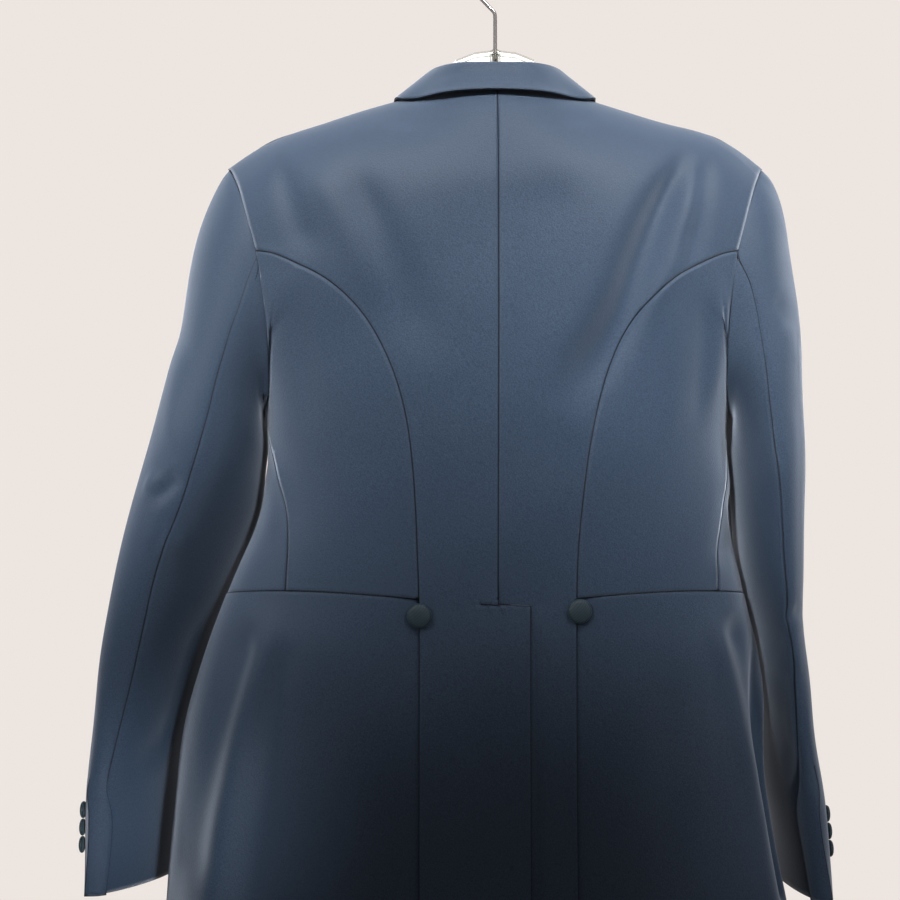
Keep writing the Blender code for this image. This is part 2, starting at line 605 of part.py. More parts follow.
def seam_turns(row):
    """Turns of the sleeve's front seam and hind seam on one ring."""
    lean, hind = row[6], row[7]
    tilt = math.degrees(math.asin(lean))
    return (tilt - math.degrees(math.acos(1 - 2 * SLEEVE_FRONT_SEAM)),
            tilt + math.degrees(math.acos(1 - 2 * hind)))


def even_turns(start, end, count):
    """Turns across a sleeve piece, closer together beside its seams."""
    turns = spread(start, end, count)
    return [start, mix(start, turns[1], 0.35)] + turns[1:-1] + [mix(end, turns[-2], 0.35), end]


def sleeve_grid(side, piece):
    """Rings of the top or the under sleeve between its two seams, armhole to cuff."""
    rows = SLEEVE[side]
    points = []
    for r, row in enumerate(rows):
        front, hind = seam_turns(row)
        vent = r >= len(rows) - VENT_RINGS
        lapped = r > len(rows) - VENT_RINGS
        if piece == "top":
            turns = even_turns(front, hind + (VENT_LAP_TURN if lapped else 0.0), 12)
        else:
            turns = even_turns(hind, front + 360, 7)
        line = []
        for c, turn in enumerate(turns):
            place = sleeve_place(row, side, turn)
            fade = (1 - min(r / CAP_RINGS, 1.0)) ** 2
            place += (armhole_place(side, turn) - sleeve_place(rows[0], side, turn)) * fade
            if vent and piece == "top" and c >= len(turns) - 4:
                flare = VENT_FLARE * max(r - len(rows) + 3, 0) / 2
                place += sleeve_out(row, side, turn) * (VENT_LIFT + flare)
            line.append(place)
        points.append(line)
    return points


def sleeve_out(row, side, turn):
    """Direction away from the sleeve's ring at a turn."""
    along = sleeve_place(row, side, turn + 1) - sleeve_place(row, side, turn - 1)
    out = Vector((along.y, -along.x, 0)).normalized()
    middle = (sleeve_place(row, side, 0) + sleeve_place(row, side, 180)) / 2
    return out if out.dot(sleeve_place(row, side, turn) - middle) > 0 else -out


def turned(name, profile, material, steps):
    """A turned piece from a profile of (radius, height), top to bottom."""
    mesh = bpy.data.meshes.new(name)
    edges = [(n, n + 1) for n in range(len(profile) - 1)]
    mesh.from_pydata([(radius, 0, height) for radius, height in profile], edges, [])
    obj = add_object(name, mesh, material)
    screw = obj.modifiers.new("Turn", "SCREW")
    screw.steps = steps
    screw.render_steps = steps
    screw.use_merge_vertices = True
    screw.merge_threshold = 0.00001
    screw.use_smooth_shade = True
    return obj


def button(name, diameter, place, out, clear=BUTTON_CLEAR):
    """Cloth-covered button: a flat back, a rounded rim and a low dome. It faces out."""
    radius = diameter / 2
    profile = [(0, 0.26), (0.45, 0.25), (0.72, 0.21), (0.86, 0.19), (0.95, 0.16), (1.0, 0.09), (0.96, 0.0), (0, 0)]
    obj = turned(name, [(r * radius, h * diameter) for r, h in profile], BUTTON_CLOTH, 20)
    obj.location = place + out * (CLOTH / 2 + clear)
    obj.rotation_euler = out.to_track_quat("Z", "Y").to_euler()
    return obj


def form_out(angle, z, side):
    """Direction away from the coat at a place on it."""
    across = form(angle + 1, z, side) - form(angle - 1, z, side)
    down = form(angle, z - 0.002, side) - form(angle, z + 0.002, side)
    out = across.cross(down).normalized()
    here = form(angle, z, side)
    return out if out.dot(Vector((here.x, here.y, 0))) > 0 else -out


def buttons():
    for side in ("left", "right"):
        x, z = WAIST_BUTTON_AT[side]
        angle = angle_at(x, z, side)
        place, out = form(angle, z, side), form_out(angle, z, side)
        button(f"waist_button_{side}", WAIST_BUTTON, place, out, WAIST_BUTTON_CLEAR)
        for n in range(3):
            z = CUFF_BUTTON_Z[side] - n * CUFF_BUTTON_PITCH
            row = [read(SLEEVE[side], column, z, key=1) for column in range(len(SLEEVE[side][0]))]
            turn = math.degrees(math.asin(row[6]))
            place = sleeve_place(row, side, turn)
            button(f"cuff_button_{side}_{n + 1}", CUFF_BUTTON, place, sleeve_out(row, side, turn))
    place = front_at_x(0.0, FRONT_BUTTON_Z, "left")
    button("front_button", FRONT_BUTTON, place, form_out(-90, FRONT_BUTTON_Z, "left"), clear=SEAM)


def hanger_top(x):
    """Height of the hanger's upper edge, just under the cloth on the shoulders."""
    if abs(x) < ARCH[-1][0]:
        return read(ARCH, 1, abs(x))
    return ridge(x) - CLOTH / 2 - HANGER_CLEAR - ARM_DROOP * ease((abs(x) - 0.160) / 0.025)


def hanger_body():
    """Clear plastic arms: a rib on a thin web, with a boss in the middle bored for the hook."""
    section = [(-RIB_WIDTH / 2, 0), (RIB_WIDTH / 2, 0), (RIB_WIDTH / 2, -RIB_THICK),
               (WEB_THICK / 2, -RIB_THICK), (WEB_THICK / 2, -WEB_HEIGHT), (-WEB_THICK / 2, -WEB_HEIGHT),
               (-WEB_THICK / 2, -RIB_THICK), (-RIB_WIDTH / 2, -RIB_THICK)]
    half = [row[0] for row in ARCH] + spread(ARCH[-1][0], ARM_END_X, 7)[1:]
    stations = [-x for x in half[:0:-1]] + half
    verts = []
    for x in stations:
        narrow = 1.0 - 0.4 * ease((abs(x) - 0.150) / 0.060)
        verts += [(x, y * narrow, hanger_top(x) + z * narrow) for y, z in section]
    count = len(section)
    faces = [tuple(range(count))[::-1]]
    for s in range(len(stations) - 1):
        for n in range(count):
            a, b = s * count + n, s * count + (n + 1) % count
            faces.append((a, b, b + count, a + count))
    faces.append(tuple(range(len(verts) - count, len(verts))))
    mesh = bpy.data.meshes.new("hanger_body")
    mesh.from_pydata(verts, [], faces)
    body = add_object("hanger_body", mesh, CLEAR_PLASTIC)
    boss = cutter("boss", BOSS_RADIUS, BOSS_TOP_Z, BOSS_FOOT_Z)
    bore = cutter("bore", HOOK_WIRE + SEAM, BOSS_TOP_Z + 0.01, STEM_FOOT_Z - SEAM)
    for tool, operation in ((boss, "UNION"), (bore, "DIFFERENCE")):
        cut = body.modifiers.new(tool.name, "BOOLEAN")
        cut.operation = operation
        cut.object = tool
    return body


def cutter(name, radius, top, foot):
    bpy.ops.mesh.primitive_cylinder_add(vertices=20, radius=radius, depth=top - foot,
                                        location=(0, 0, (top + foot) / 2))
    obj = bpy.context.object
    obj.name = name
    obj.hide_render = True
    obj.display_type = "WIRE"
    for collection in list(obj.users_collection):
        collection.objects.unlink(obj)
    cutters.objects.link(obj)
    return obj


def hook_points():
    """Centre line of the wire: up the stem, off at 45 degrees and round the crook."""
    centre_z = HOOK_WIRE - HOOK_CURVE
    reach = BEND_RADIUS * math.tan(math.radians(22.5))
    points = [(0, STEM_FOOT_Z), (0, BEND_Z - reach - 0.010)]
    for d in (0, 15, 30, 45):
        a = math.radians(d)
        points.append((BEND_RADIUS * (1 - math.cos(a)), BEND_Z - reach + BEND_RADIUS * math.sin(a)))
    for d in range(-45, 211, 15):
        a = math.radians(d)
        points.append((HOOK_CURVE * math.cos(a), centre_z + HOOK_CURVE * math.sin(a)))
    return points


def hanger_hook():
    """Bright wire hook."""
    curve = bpy.data.curves.new("hanger_hook", "CURVE")
    curve.dimensions = "3D"
    curve.bevel_depth = HOOK_WIRE
    curve.bevel_resolution = 2
    curve.use_fill_caps = True
    spline = curve.splines.new("POLY")
    points = hook_points()
    spline.points.add(len(points) - 1)
    for point, (x, z) in zip(spline.points, points):
        point.co = (x, 0, z, 1)
    hook = bpy.data.objects.new("hanger_hook", curve)
    coat.objects.link(hook)
    curve.materials.append(BRIGHT_STEEL)
    return hook


def main():
    for side in ("left", "right"):
        back_panel(side)
        side_body(side)
        forepart(side)
        skirt(side)
        lapel(side)
        for piece in ("top", "under"):
            points = trim(sleeve_grid(side, piece), SLEEVE_TRIM)
            sheet(f"{piece}_sleeve_{side}", points, WORSTED, flip=side == "right")
    collar()
    buttons()
    hanger_body()
    hanger_hook()


for old in list(bpy.data.objects):
    bpy.data.objects.remove(old)
coat = bpy.data.collections.new("morning_coat_on_hanger")
cutters = bpy.data.collections.new("cutters")
for collection in (coat, cutters):
    bpy.context.scene.collection.children.link(collection)
WORSTED = make_material("worsted", (0.020, 0.026, 0.045), 0.80)
BUTTON_CLOTH = make_material("button_cloth", (0.022, 0.026, 0.030), 0.70)
CLEAR_PLASTIC = make_material("clear_plastic", (0.85, 0.86, 0.84), 0.15)
BRIGHT_STEEL = make_material("bright_steel", (0.62, 0.61, 0.62), 0.25, metallic=1.0)
main()
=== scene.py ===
"""Looks of a morning coat on a clear hanger, seen from its back.

The coat's front faces -Y and the wearer's left is +X, in metres, with the rail at the origin. Each section
below makes one piece or group of pieces, in the order in which a tailor and the hanger put them together.
"""
import math

import bmesh
import bpy
import numpy as np
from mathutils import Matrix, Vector
from mathutils.kdtree import KDTree


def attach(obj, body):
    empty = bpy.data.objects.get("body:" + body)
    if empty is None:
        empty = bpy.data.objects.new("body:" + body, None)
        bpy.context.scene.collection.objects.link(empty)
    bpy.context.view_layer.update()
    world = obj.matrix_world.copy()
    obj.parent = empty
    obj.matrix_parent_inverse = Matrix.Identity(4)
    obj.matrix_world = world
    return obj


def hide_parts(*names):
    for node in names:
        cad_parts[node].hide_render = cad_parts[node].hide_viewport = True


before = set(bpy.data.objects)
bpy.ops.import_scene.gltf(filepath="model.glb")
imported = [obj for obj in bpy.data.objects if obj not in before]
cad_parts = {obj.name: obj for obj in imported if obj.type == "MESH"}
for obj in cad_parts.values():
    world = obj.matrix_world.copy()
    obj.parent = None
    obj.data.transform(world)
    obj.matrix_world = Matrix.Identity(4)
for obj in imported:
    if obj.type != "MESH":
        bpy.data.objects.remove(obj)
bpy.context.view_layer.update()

# The hook: hard drawn steel wire, 4 mm thick, bent cold round a former and nickel plated. Its foot is
# pressed into the hanger's boss. Plating gives a bright, slightly warm mirror with a faint drawn grain.


def linear(hex_color):
    """An sRGB hex colour as the linear one that a shader takes."""
    channels = [int(hex_color[n:n + 2], 16) / 255 for n in (1, 3, 5)]
    return [c / 12.92 if c <= 0.04045 else ((c + 0.055) / 1.055) ** 2.4 for c in channels] + [1.0]


def add_node(owner, kind, settings=None, links=None, **values):
    """Adds a node with its settings, its input values by name, and links into its inputs."""
    node = owner.node_tree.nodes.new(kind)
    for name, value in (settings or {}).items():
        setattr(node, name, value)
    for name, value in values.items():
        node.inputs[name.replace("_", " ")].default_value = value
    for name, output in (links or {}).items():
        owner.node_tree.links.new(output, node.inputs[name])
    return node


def new_material(name, **values):
    """A material whose shader has these input values, by name."""
    material = bpy.data.materials.new(name)
    material.use_nodes = True
    for input_name, value in values.items():
        material.node_tree.nodes["Principled BSDF"].inputs[input_name.replace("_", " ")].default_value = value
    return material


def feed(material, **outputs):
    """Links outputs into the inputs of a material's shader, by name."""
    shader = material.node_tree.nodes["Principled BSDF"]
    for name, output in outputs.items():
        material.node_tree.links.new(output, shader.inputs[name.replace("_", " ")])


nickel_plated_wire = new_material("nickel_plated_wire", Base_Color=linear("#b9b5b4"), Metallic=1.0)
place = add_node(nickel_plated_wire, "ShaderNodeTexCoord").outputs["Object"]
drawn = add_node(nickel_plated_wire, "ShaderNodeTexNoise", links={"Vector": place}, Scale=900.0, Detail=2.0)
gloss = add_node(nickel_plated_wire, "ShaderNodeMapRange", links={"Value": drawn.outputs["Fac"]},
                 To_Min=0.10, To_Max=0.26)
feed(nickel_plated_wire, Roughness=gloss.outputs["Result"])

WELD = 0.00002              # corners of a CAD mesh that are this close together are one
JOIN = math.radians(45)     # triangles that bend less than this become one quad
SHARP = math.radians(50)    # edges that bend more than this are creased


def quads_of(node):
    """A CAD node's mesh for editing: its triangles joined to quads and its sharp edges creased."""
    grid = bmesh.new()
    grid.from_mesh(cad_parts[node].data)
    bmesh.ops.remove_doubles(grid, verts=grid.verts, dist=WELD)
    bmesh.ops.join_triangles(grid, faces=grid.faces, angle_face_threshold=JOIN,
                             angle_shape_threshold=math.pi)
    crease = grid.edges.layers.float.new("crease_edge")
    for edge in grid.edges:
        if edge.calc_face_angle(0.0) > SHARP:
            edge[crease] = 1.0
    for face in grid.faces:
        face.smooth = True
    return grid


def refined(node, grid, levels):
    """A piece that stands for a CAD node: its edited mesh, subdivided."""
    mesh = bpy.data.meshes.new(node + "_cage")
    grid.to_mesh(mesh)
    grid.free()
    rough = bpy.data.objects.new(node + "_cage", mesh)
    bpy.context.scene.collection.objects.link(rough)
    finer = rough.modifiers.new("Finer", "SUBSURF")
    finer.levels = levels
    finer.render_levels = levels
    result = bpy.data.meshes.new_from_object(rough.evaluated_get(bpy.context.evaluated_depsgraph_get()))
    bpy.data.objects.remove(rough)
    piece = bpy.data.objects.new(node + "_piece", result)
    bpy.context.scene.collection.objects.link(piece)
    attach(piece, "root")
    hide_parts(node)
    return piece


hook = refined("hanger_hook", quads_of("hanger_hook"), levels=2)
hook.data.materials.append(nickel_plated_wire)

# The hanger: clear polystyrene, injection moulded in one piece, a rib on a thin web with a round boss at
# its middle. Clear moulding gives bright edges where the wall behind shows bent through it.
clear_styrene = new_material("clear_styrene", Base_Color=linear("#e2e5e1"), IOR=1.59, Transmission_Weight=1.0)
place = add_node(clear_styrene, "ShaderNodeTexCoord").outputs["Object"]
flow = add_node(clear_styrene, "ShaderNodeTexNoise", links={"Vector": place}, Scale=140.0, Detail=2.0)
gloss = add_node(clear_styrene, "ShaderNodeMapRange", links={"Value": flow.outputs["Fac"]},
                 To_Min=0.04, To_Max=0.12)
ripple = add_node(clear_styrene, "ShaderNodeBump", links={"Height": flow.outputs["Fac"]},
                  Strength=0.15, Distance=0.0006)
feed(clear_styrene, Roughness=gloss.outputs["Result"], Normal=ripple.outputs["Normal"])
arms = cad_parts["hanger_body"]
arms.data.materials.clear()
arms.data.materials.append(clear_styrene)

# The back: each half is cut in one from shoulder to tail in worsted barathea, a fine combed wool, piece
# dyed midnight navy and pressed hard. The halves are sewn down the middle to the vent, where the left tail
# laps over the right one. Its fibres give a soft grey-blue bloom over a dark and even ground.
worsted = new_material("midnight_worsted_barathea", Roughness=0.60, Specular_IOR_Level=0.10,
                       Sheen_Roughness=0.45, Sheen_Tint=linear("#e1edff"))
place = add_node(worsted, "ShaderNodeTexCoord").outputs["Object"]
# Each point's distance from its panel's nearest sharp edge, in metres.
from_edge = add_node(worsted, "ShaderNodeAttribute", {"attribute_name": "from_edge"}).outputs["Fac"]
# Barathea's broken ribs are 0.4 mm apart, too fine for the picture, and are drawn 1.2 mm apart.
grain = add_node(worsted, "ShaderNodeTexNoise", links={"Vector": place}, Scale=830.0, Detail=2.0)
threads = add_node(worsted, "ShaderNodeMapRange", links={"Value": grain.outputs["Fac"]},
                   From_Min=0.30, From_Max=0.70)
ground = add_node(worsted, "ShaderNodeMix", {"data_type": "RGBA"}, {"Factor": threads.outputs["Result"]},
                  A=linear("#0f1927"), B=linear("#1a2633"))
# Within about a millimetre of a sharp edge, in the seams and on the cut faces, the cloth is painted
# near-black: painted shade in the seams.
seam_shade_fade = add_node(worsted, "ShaderNodeMapRange", {"interpolation_type": "SMOOTHSTEP"}, {"Value": from_edge},
                    From_Min=0.0001, From_Max=0.0009)
cloth_with_seam_shade = add_node(worsted, "ShaderNodeMix", {"data_type": "RGBA"},
                       {"Factor": seam_shade_fade.outputs["Result"], "B": ground.outputs["Result"]},
                       A=linear("#04070d"))
# The sheen is turned almost off in the same places, which adds to the painted shade in the seams.
bloom = add_node(worsted, "ShaderNodeMapRange", links={"Value": seam_shade_fade.outputs["Result"]},
                 To_Min=0.02, To_Max=0.35)
weave = add_node(worsted, "ShaderNodeBump", links={"Height": grain.outputs["Fac"]},
                 Strength=0.40, Distance=0.0004)
pressed = add_node(worsted, "ShaderNodeMapRange", {"interpolation_type": "SMOOTHSTEP"}, {"Value": from_edge},
                   From_Min=0.0, From_Max=0.0034)
rolled_edge = add_node(worsted, "ShaderNodeBump", links={"Height": pressed.outputs["Result"],
                                                         "Normal": weave.outputs["Normal"]},
                       Strength=1.0, Distance=0.0003)
feed(worsted, Base_Color=cloth_with_seam_shade.outputs["Result"], Sheen_Weight=bloom.outputs["Result"],
     Normal=rolled_edge.outputs["Normal"])

PANEL_THICK = 0.0020               # one layer with its canvas, as in the solids
THICK_WITHIN = 0.00005             # how near to that an edge through the cloth measures
SEAM_CLOSING = 0.00022             # what each side of a seam grows by, to meet the other
NEAR_PARALLEL = 0.2                # cut faces that meet at less of a corner than this count as one
STILL_SHARP = math.radians(40)     # edges that bend more than this once the mesh is fine
EDGE_STEP = 0.0008                 # way between two places on such an edge
BODY_HALF = (0.23, 0.09)           # half the body's width and depth
SHOULDER_FOOT_Z = -0.190           # where the body's side begins to turn into its shoulder
SHOULDER_TALL = 0.070
FACING = 0.35                      # a fold has its full rise on cloth that faces its side this far


def smooth(t):
    t = np.clip(t, 0.0, 1.0)
    return t * t * (3 - 2 * t)


def through_cloth(edge):
    """Whether an edge runs through the cloth, from one of its faces to the other."""
    return abs(edge.calc_length() - PANEL_THICK) < THICK_WITHIN


def cut_faces(grid):
    """Faces along a panel's cut edges: as wide as the cloth is thick, between two sharp edges."""
    found = []
    for face in grid.faces:
        thick = sum(through_cloth(edge) for edge in face.edges)
        sharp = sum(edge.calc_face_angle(0.0) > SHARP for edge in face.edges)
        if thick >= 2 and sharp >= 2:
            found.append(face)
    return found


def close_seams(grid, growth):
    """Grows a panel at all its cut edges, so that it meets the next one."""
    normals = {}
    for face in cut_faces(grid):
        for vert in face.verts:
            normals.setdefault(vert, []).append(face.normal[:])
    for vert, rows in normals.items():
        shift = np.linalg.lstsq(np.array(rows), np.full(len(rows), growth), rcond=NEAR_PARALLEL)[0]
        vert.co += Vector(shift)


def tree_of(points):
    tree = KDTree(len(points))
    for n, point in enumerate(points):
        tree.insert(point, n)
    tree.balance()
    return tree


def between(start, end, step):
    """Points from start to end, no further apart than step."""
    count = max(math.ceil((end - start).length / step), 1)
    return [start.lerp(end, n / count) for n in range(count + 1)]


def edge_tree(mesh):
    """Places along a finished panel's sharp edges."""
    grid = bmesh.new()
    grid.from_mesh(mesh)
    places = []
    for edge in grid.edges:
        if edge.calc_face_angle(0.0) > STILL_SHARP:
            places += between(edge.verts[0].co.copy(), edge.verts[1].co.copy(), EDGE_STEP)
    grid.free()
    return tree_of(places)


def path_through(corners, steps=12):
    """A smooth path through a few corners."""
    corners = np.array(corners, dtype=float)
    ends = np.vstack([2 * corners[0] - corners[1], corners, 2 * corners[-1] - corners[-2]])
    path = []
    for a, b, c, d in zip(ends, ends[1:], ends[2:], ends[3:]):
        for t in np.arange(steps) / steps:
            path.append(0.5 * (2 * b + (c - a) * t + (2 * a - 5 * b + 4 * c - d) * t**2
                               + (3 * b - a - 3 * c + d) * t**3))
    return np.array(path + [corners[-1]])


def fold(points, corners, width, rise, fade=0.3):
    """Rise of one soft fold along a path of (x, z), highest in its middle and fading at its ends.

    width is half the fold's width, one number or one at each end, and fade the share of the path at each end
    over which the fold comes up.
    """
    x, z = points[:, 0], points[:, 2]
    path = path_through(corners)
    way = np.concatenate([[0], np.cumsum(np.hypot(*np.diff(path, axis=0).T))])
    nearest = np.full(len(x), np.inf)
    along = np.zeros(len(x))
    for n in range(len(path) - 1):
        step = path[n + 1] - path[n]
        t = np.clip(((x - path[n][0]) * step[0] + (z - path[n][1]) * step[1]) / step.dot(step), 0, 1)
        far = np.hypot(x - path[n][0] - t * step[0], z - path[n][1] - t * step[1])
        closer = far < nearest
        nearest[closer] = far[closer]
        along[closer] = (way[n] + t * (way[n + 1] - way[n]))[closer]
    share = along / way[-1]
    start, end = width if isinstance(width, tuple) else (width, width)
    ends = smooth(share / fade) * smooth((1 - share) / fade)
    return rise * ends * np.exp(-((nearest / (start + (end - start) * share)) ** 2))


def body_out(points):
    """Direction away from the middle of the coat's body, level on its sides and up on its shoulders."""
    x, y, z = points.T
    out = np.stack([x / BODY_HALF[0]**2, y / BODY_HALF[1]**2, np.zeros(len(x))], axis=1)
    out /= np.linalg.norm(out, axis=1)[:, None] + 1e-9
    up = smooth((z - SHOULDER_FOOT_Z) / SHOULDER_TALL)[:, None]
    out = out * (1 - up) + np.array([0, 0, 1.0]) * up
    return out / np.linalg.norm(out, axis=1)[:, None]


def points_of(mesh):
    flat = np.empty(len(mesh.vertices) * 3)
    mesh.vertices.foreach_get("co", flat)
    return flat.reshape(-1, 3)


def cloth_piece(node, grid, levels, away, cut, behind=(), in_front=(), unevenness=0.0008):
    """A cloth panel: its closed-up mesh made finer, then both its faces moved together by folds.

    cut is the width and length of the flat cloth, and the share of that rectangle that the piece takes up; it
    is not used.
    """
    piece = refined(node, grid, levels)
    mesh = piece.data
    points = points_of(mesh)
    edges = edge_tree(mesh)
    from_edge = mesh.attributes.new("from_edge", "FLOAT", "POINT")
    from_edge.data.foreach_set("value", [edges.find(point)[2] for point in points])
    out = away(points)
    x, y, z = points.T
    rise = unevenness * (np.sin(31 * x + 17 * z + 1.0) * np.sin(23 * z - 11 * x + 37 * y)
                         + 0.5 * np.sin(61 * z + 40 * x + 9 * y))
    for folds, faces in ((behind, smooth(out[:, 1] / FACING)), (in_front, smooth(-out[:, 1] / FACING))):
        for row in folds:
            rise += fold(points, *row) * faces
    mesh.vertices.foreach_set("co", (points + out * rise[:, None]).ravel())
    mesh.update()
    mesh.materials.append(worsted)


def panel(node, cut, **folds):
    """A cloth panel on the body's form."""
    grid = quads_of(node)
    close_seams(grid, SEAM_CLOSING)
    cloth_piece(node, grid, 3, body_out, cut, **folds)


# Each row: a path of (x, z), half width, rise, and fade where it isn't the usual one. The long folds hang
# from the ends of the hanger's arms and draw in towards the waist.
BACK_RIGHT_FOLDS = [
    ([(-0.166, -0.166), (-0.124, -0.251), (-0.102, -0.313), (-0.067, -0.374), (-0.050, -0.410)],
     (0.009, 0.024), -0.0110, 0.25),
    ([(-0.174, -0.190), (-0.148, -0.256), (-0.126, -0.302), (-0.110, -0.345)], 0.012, 0.0040),
    ([(-0.180, -0.172), (-0.165, -0.235), (-0.150, -0.282)], (0.007, 0.013), -0.0045),
    ([(-0.050, -0.190), (-0.040, -0.260), (-0.028, -0.330)], 0.020, -0.0016),
    ([(-0.032, -0.572), (-0.032, -0.700), (-0.032, -0.860), (-0.032, -1.060)], 0.0045, -0.0016, 0.05),
    ([(-0.090, -0.150), (-0.060, -0.152), (-0.020, -0.156)], 0.010, -0.0014),
]
BACK_LEFT_FOLDS = [
    ([(0.184, -0.176), (0.166, -0.238), (0.144, -0.272)], (0.008, 0.014), -0.0030),
    ([(0.165, -0.180), (0.134, -0.222), (0.106, -0.275), (0.090, -0.320)], 0.014, 0.0022),
    ([(0.134, -0.178), (0.102, -0.240), (0.073, -0.310), (0.046, -0.372)], (0.014, 0.026), -0.0050),
    ([(0.100, -0.150), (0.055, -0.154), (0.020, -0.157)], 0.012, -0.0018),
]
YOKE_FOLDS = [
    ([(0.110, -0.202), (0.040, -0.206), (-0.030, -0.204), (-0.100, -0.196)], 0.022, 0.0012, 0.25),
]
panel("back_left", (0.28, 1.03, 0.42), behind=BACK_LEFT_FOLDS + YOKE_FOLDS)
panel("back_right", (0.26, 1.03, 0.39), behind=BACK_RIGHT_FOLDS + YOKE_FOLDS)

# The side bodies: a curved panel from armhole to waist under each arm, sewn to the back with a plain seam
# that is pressed open.
SIDE_RIGHT_FOLDS = [
    ([(-0.182, -0.278), (-0.184, -0.330), (-0.178, -0.400)], 0.007, 0.0018),
    ([(-0.168, -0.290), (-0.170, -0.345), (-0.164, -0.420)], 0.008, -0.0018),
    ([(-0.148, -0.300), (-0.146, -0.360), (-0.140, -0.430)], 0.009, 0.0014),
    ([(-0.206, -0.452), (-0.200, -0.490), (-0.190, -0.535)], 0.014, -0.0040),
]
SIDE_LEFT_FOLDS = [
    ([(0.170, -0.285), (0.160, -0.350), (0.150, -0.420)], 0.012, -0.0016),
    ([(0.192, -0.436), (0.193, -0.470), (0.196, -0.510)], 0.012, 0.0022),
]
panel("side_body_left", (0.16, 0.30, 0.70), behind=SIDE_LEFT_FOLDS + BACK_LEFT_FOLDS)
panel("side_body_right", (0.16, 0.30, 0.72), behind=SIDE_RIGHT_FOLDS + BACK_RIGHT_FOLDS)

# The foreparts: canvas interlined fronts, closed with one button, so they lie smooth and firm.
FRONT_FOLDS = [
    ([(0.150, -0.200), (0.130, -0.300), (0.090, -0.420)], 0.018, -0.0024),
    ([(-0.150, -0.200), (-0.125, -0.300), (-0.085, -0.420)], 0.018, -0.0024),
    ([(0.120, -0.470), (0.060, -0.520), (0.020, -0.538)], 0.014, -0.0016),
    ([(-0.120, -0.470), (-0.060, -0.520), (-0.020, -0.538)], 0.014, -0.0016),
]
panel("forepart_left", (0.29, 0.47, 0.81), behind=SIDE_LEFT_FOLDS, in_front=FRONT_FOLDS)
panel("forepart_right", (0.29, 0.47, 0.79), behind=SIDE_RIGHT_FOLDS, in_front=FRONT_FOLDS)

# The skirts: sewn on at the waist, shaped by one dart over each hip, cut away in front and pleated in
# under the tails behind.
SKIRT_LEFT_FOLDS = [
    ([(0.182, -0.556), (0.196, -0.605), (0.210, -0.650), (0.222, -0.703), (0.231, -0.747), (0.240, -0.830),
      (0.245, -0.960)], (0.009, 0.016), 0.0034, 0.10),
    ([(0.172, -0.575), (0.182, -0.640), (0.190, -0.700), (0.202, -0.760), (0.208, -0.900)],
     (0.010, 0.018), -0.0036, 0.12),
    ([(0.205, -0.565), (0.228, -0.640), (0.248, -0.720), (0.258, -0.800)], (0.010, 0.018), -0.0070, 0.15),
    ([(0.178, -0.556), (0.181, -0.610), (0.183, -0.667)], 0.0022, -0.0007),
]
SKIRT_RIGHT_FOLDS = [
    ([(-0.178, -0.560), (-0.193, -0.612), (-0.204, -0.667), (-0.218, -0.711), (-0.235, -0.782),
      (-0.245, -0.900)], (0.008, 0.012), 0.0040, 0.10),
    ([(-0.196, -0.560), (-0.214, -0.612), (-0.226, -0.667), (-0.240, -0.730), (-0.256, -0.830)],
     (0.010, 0.016), -0.0090, 0.10),
    ([(-0.135, -0.575), (-0.140, -0.680), (-0.144, -0.820)], 0.018, -0.0024),
    ([(-0.1794, -0.592), (-0.1806, -0.650), (-0.1818, -0.705)], 0.0022, -0.0008),
]
panel("skirt_left", (0.42, 0.60, 0.84), behind=SKIRT_LEFT_FOLDS)
panel("skirt_right", (0.39, 0.60, 0.82), behind=SKIRT_RIGHT_FOLDS)

# The lapels: peaked, faced with the same cloth and rolled back over the fronts.
panel("lapel_left", (0.09, 0.36, 0.54))
panel("lapel_right", (0.09, 0.36, 0.54))

# The collar: an under collar of felt and canvas, covered in the cloth and folded over on its stand.
NECK_MIDDLE_Y = -0.01
COLLAR_LEAN = 0.02     # upward part of its outward direction, against its distance from the neck's middle


def collar_out(points):
    """Direction away from the neck's middle, leaning up a little."""
    x, y, _ = points.T
    out = np.stack([x, y - NECK_MIDDLE_Y, np.full(len(x), COLLAR_LEAN)], axis=1)
    return out / np.linalg.norm(out, axis=1)[:, None]


COLLAR_FOLDS = [
    ([(0.070, -0.136), (0.030, -0.134), (-0.030, -0.134), (-0.070, -0.136)], 0.009, 0.0034, 0.2),
    ([(0.060, -0.112), (0.020, -0.110), (-0.030, -0.110)], 0.004, -0.0006, 0.2),
]
cloth_piece("collar", quads_of("collar"), 2, collar_out, (0.40, 0.075, 0.86), behind=COLLAR_FOLDS,
            unevenness=0.0004)

# The sleeves: cut in two pieces, eased into the armhole over a little wadding, with a hind seam that opens
# at the cuff in a lapped vent.
SLEEVE_LEVELS = 24
LEVEL_REACH = 0.035                # how far above and below a level the sleeve's points count for it
ARMHOLE_STEP = 0.001               # way between two places on the armhole
ARMHOLE_REACH = 0.012              # how far a sleeve's cut edge may be moved to it
INTO_THE_BODY = Vector((-0.98, 0.0, 0.17))     # from the left sleeve
TOWARDS = 0.45                     # a cut face whose normal has this much of that direction faces the body


def sleeve_out_for(side):
    """Direction away from a sleeve's middle line, which is read from the sleeve itself."""
    points = np.vstack([points_of(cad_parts[part + side].data)
                        for part in ("top_sleeve_", "under_sleeve_")])
    heights = np.linspace(points[:, 2].min(), points[:, 2].max(), SLEEVE_LEVELS)
    levels = [points[np.abs(points[:, 2] - height) < LEVEL_REACH, :2] for height in heights]
    low = np.array([level.min(axis=0) for level in levels])
    high = np.array([level.max(axis=0) for level in levels])

    def away(places):
        out = np.zeros_like(places)
        for k in (0, 1):
            middle = np.interp(places[:, 2], heights, (low[:, k] + high[:, k]) / 2)
            half = np.interp(places[:, 2], heights, (high[:, k] - low[:, k]) / 2)
            out[:, k] = (places[:, k] - middle) / half**2
        return out / (np.linalg.norm(out, axis=1)[:, None] + 1e-9)

    return away


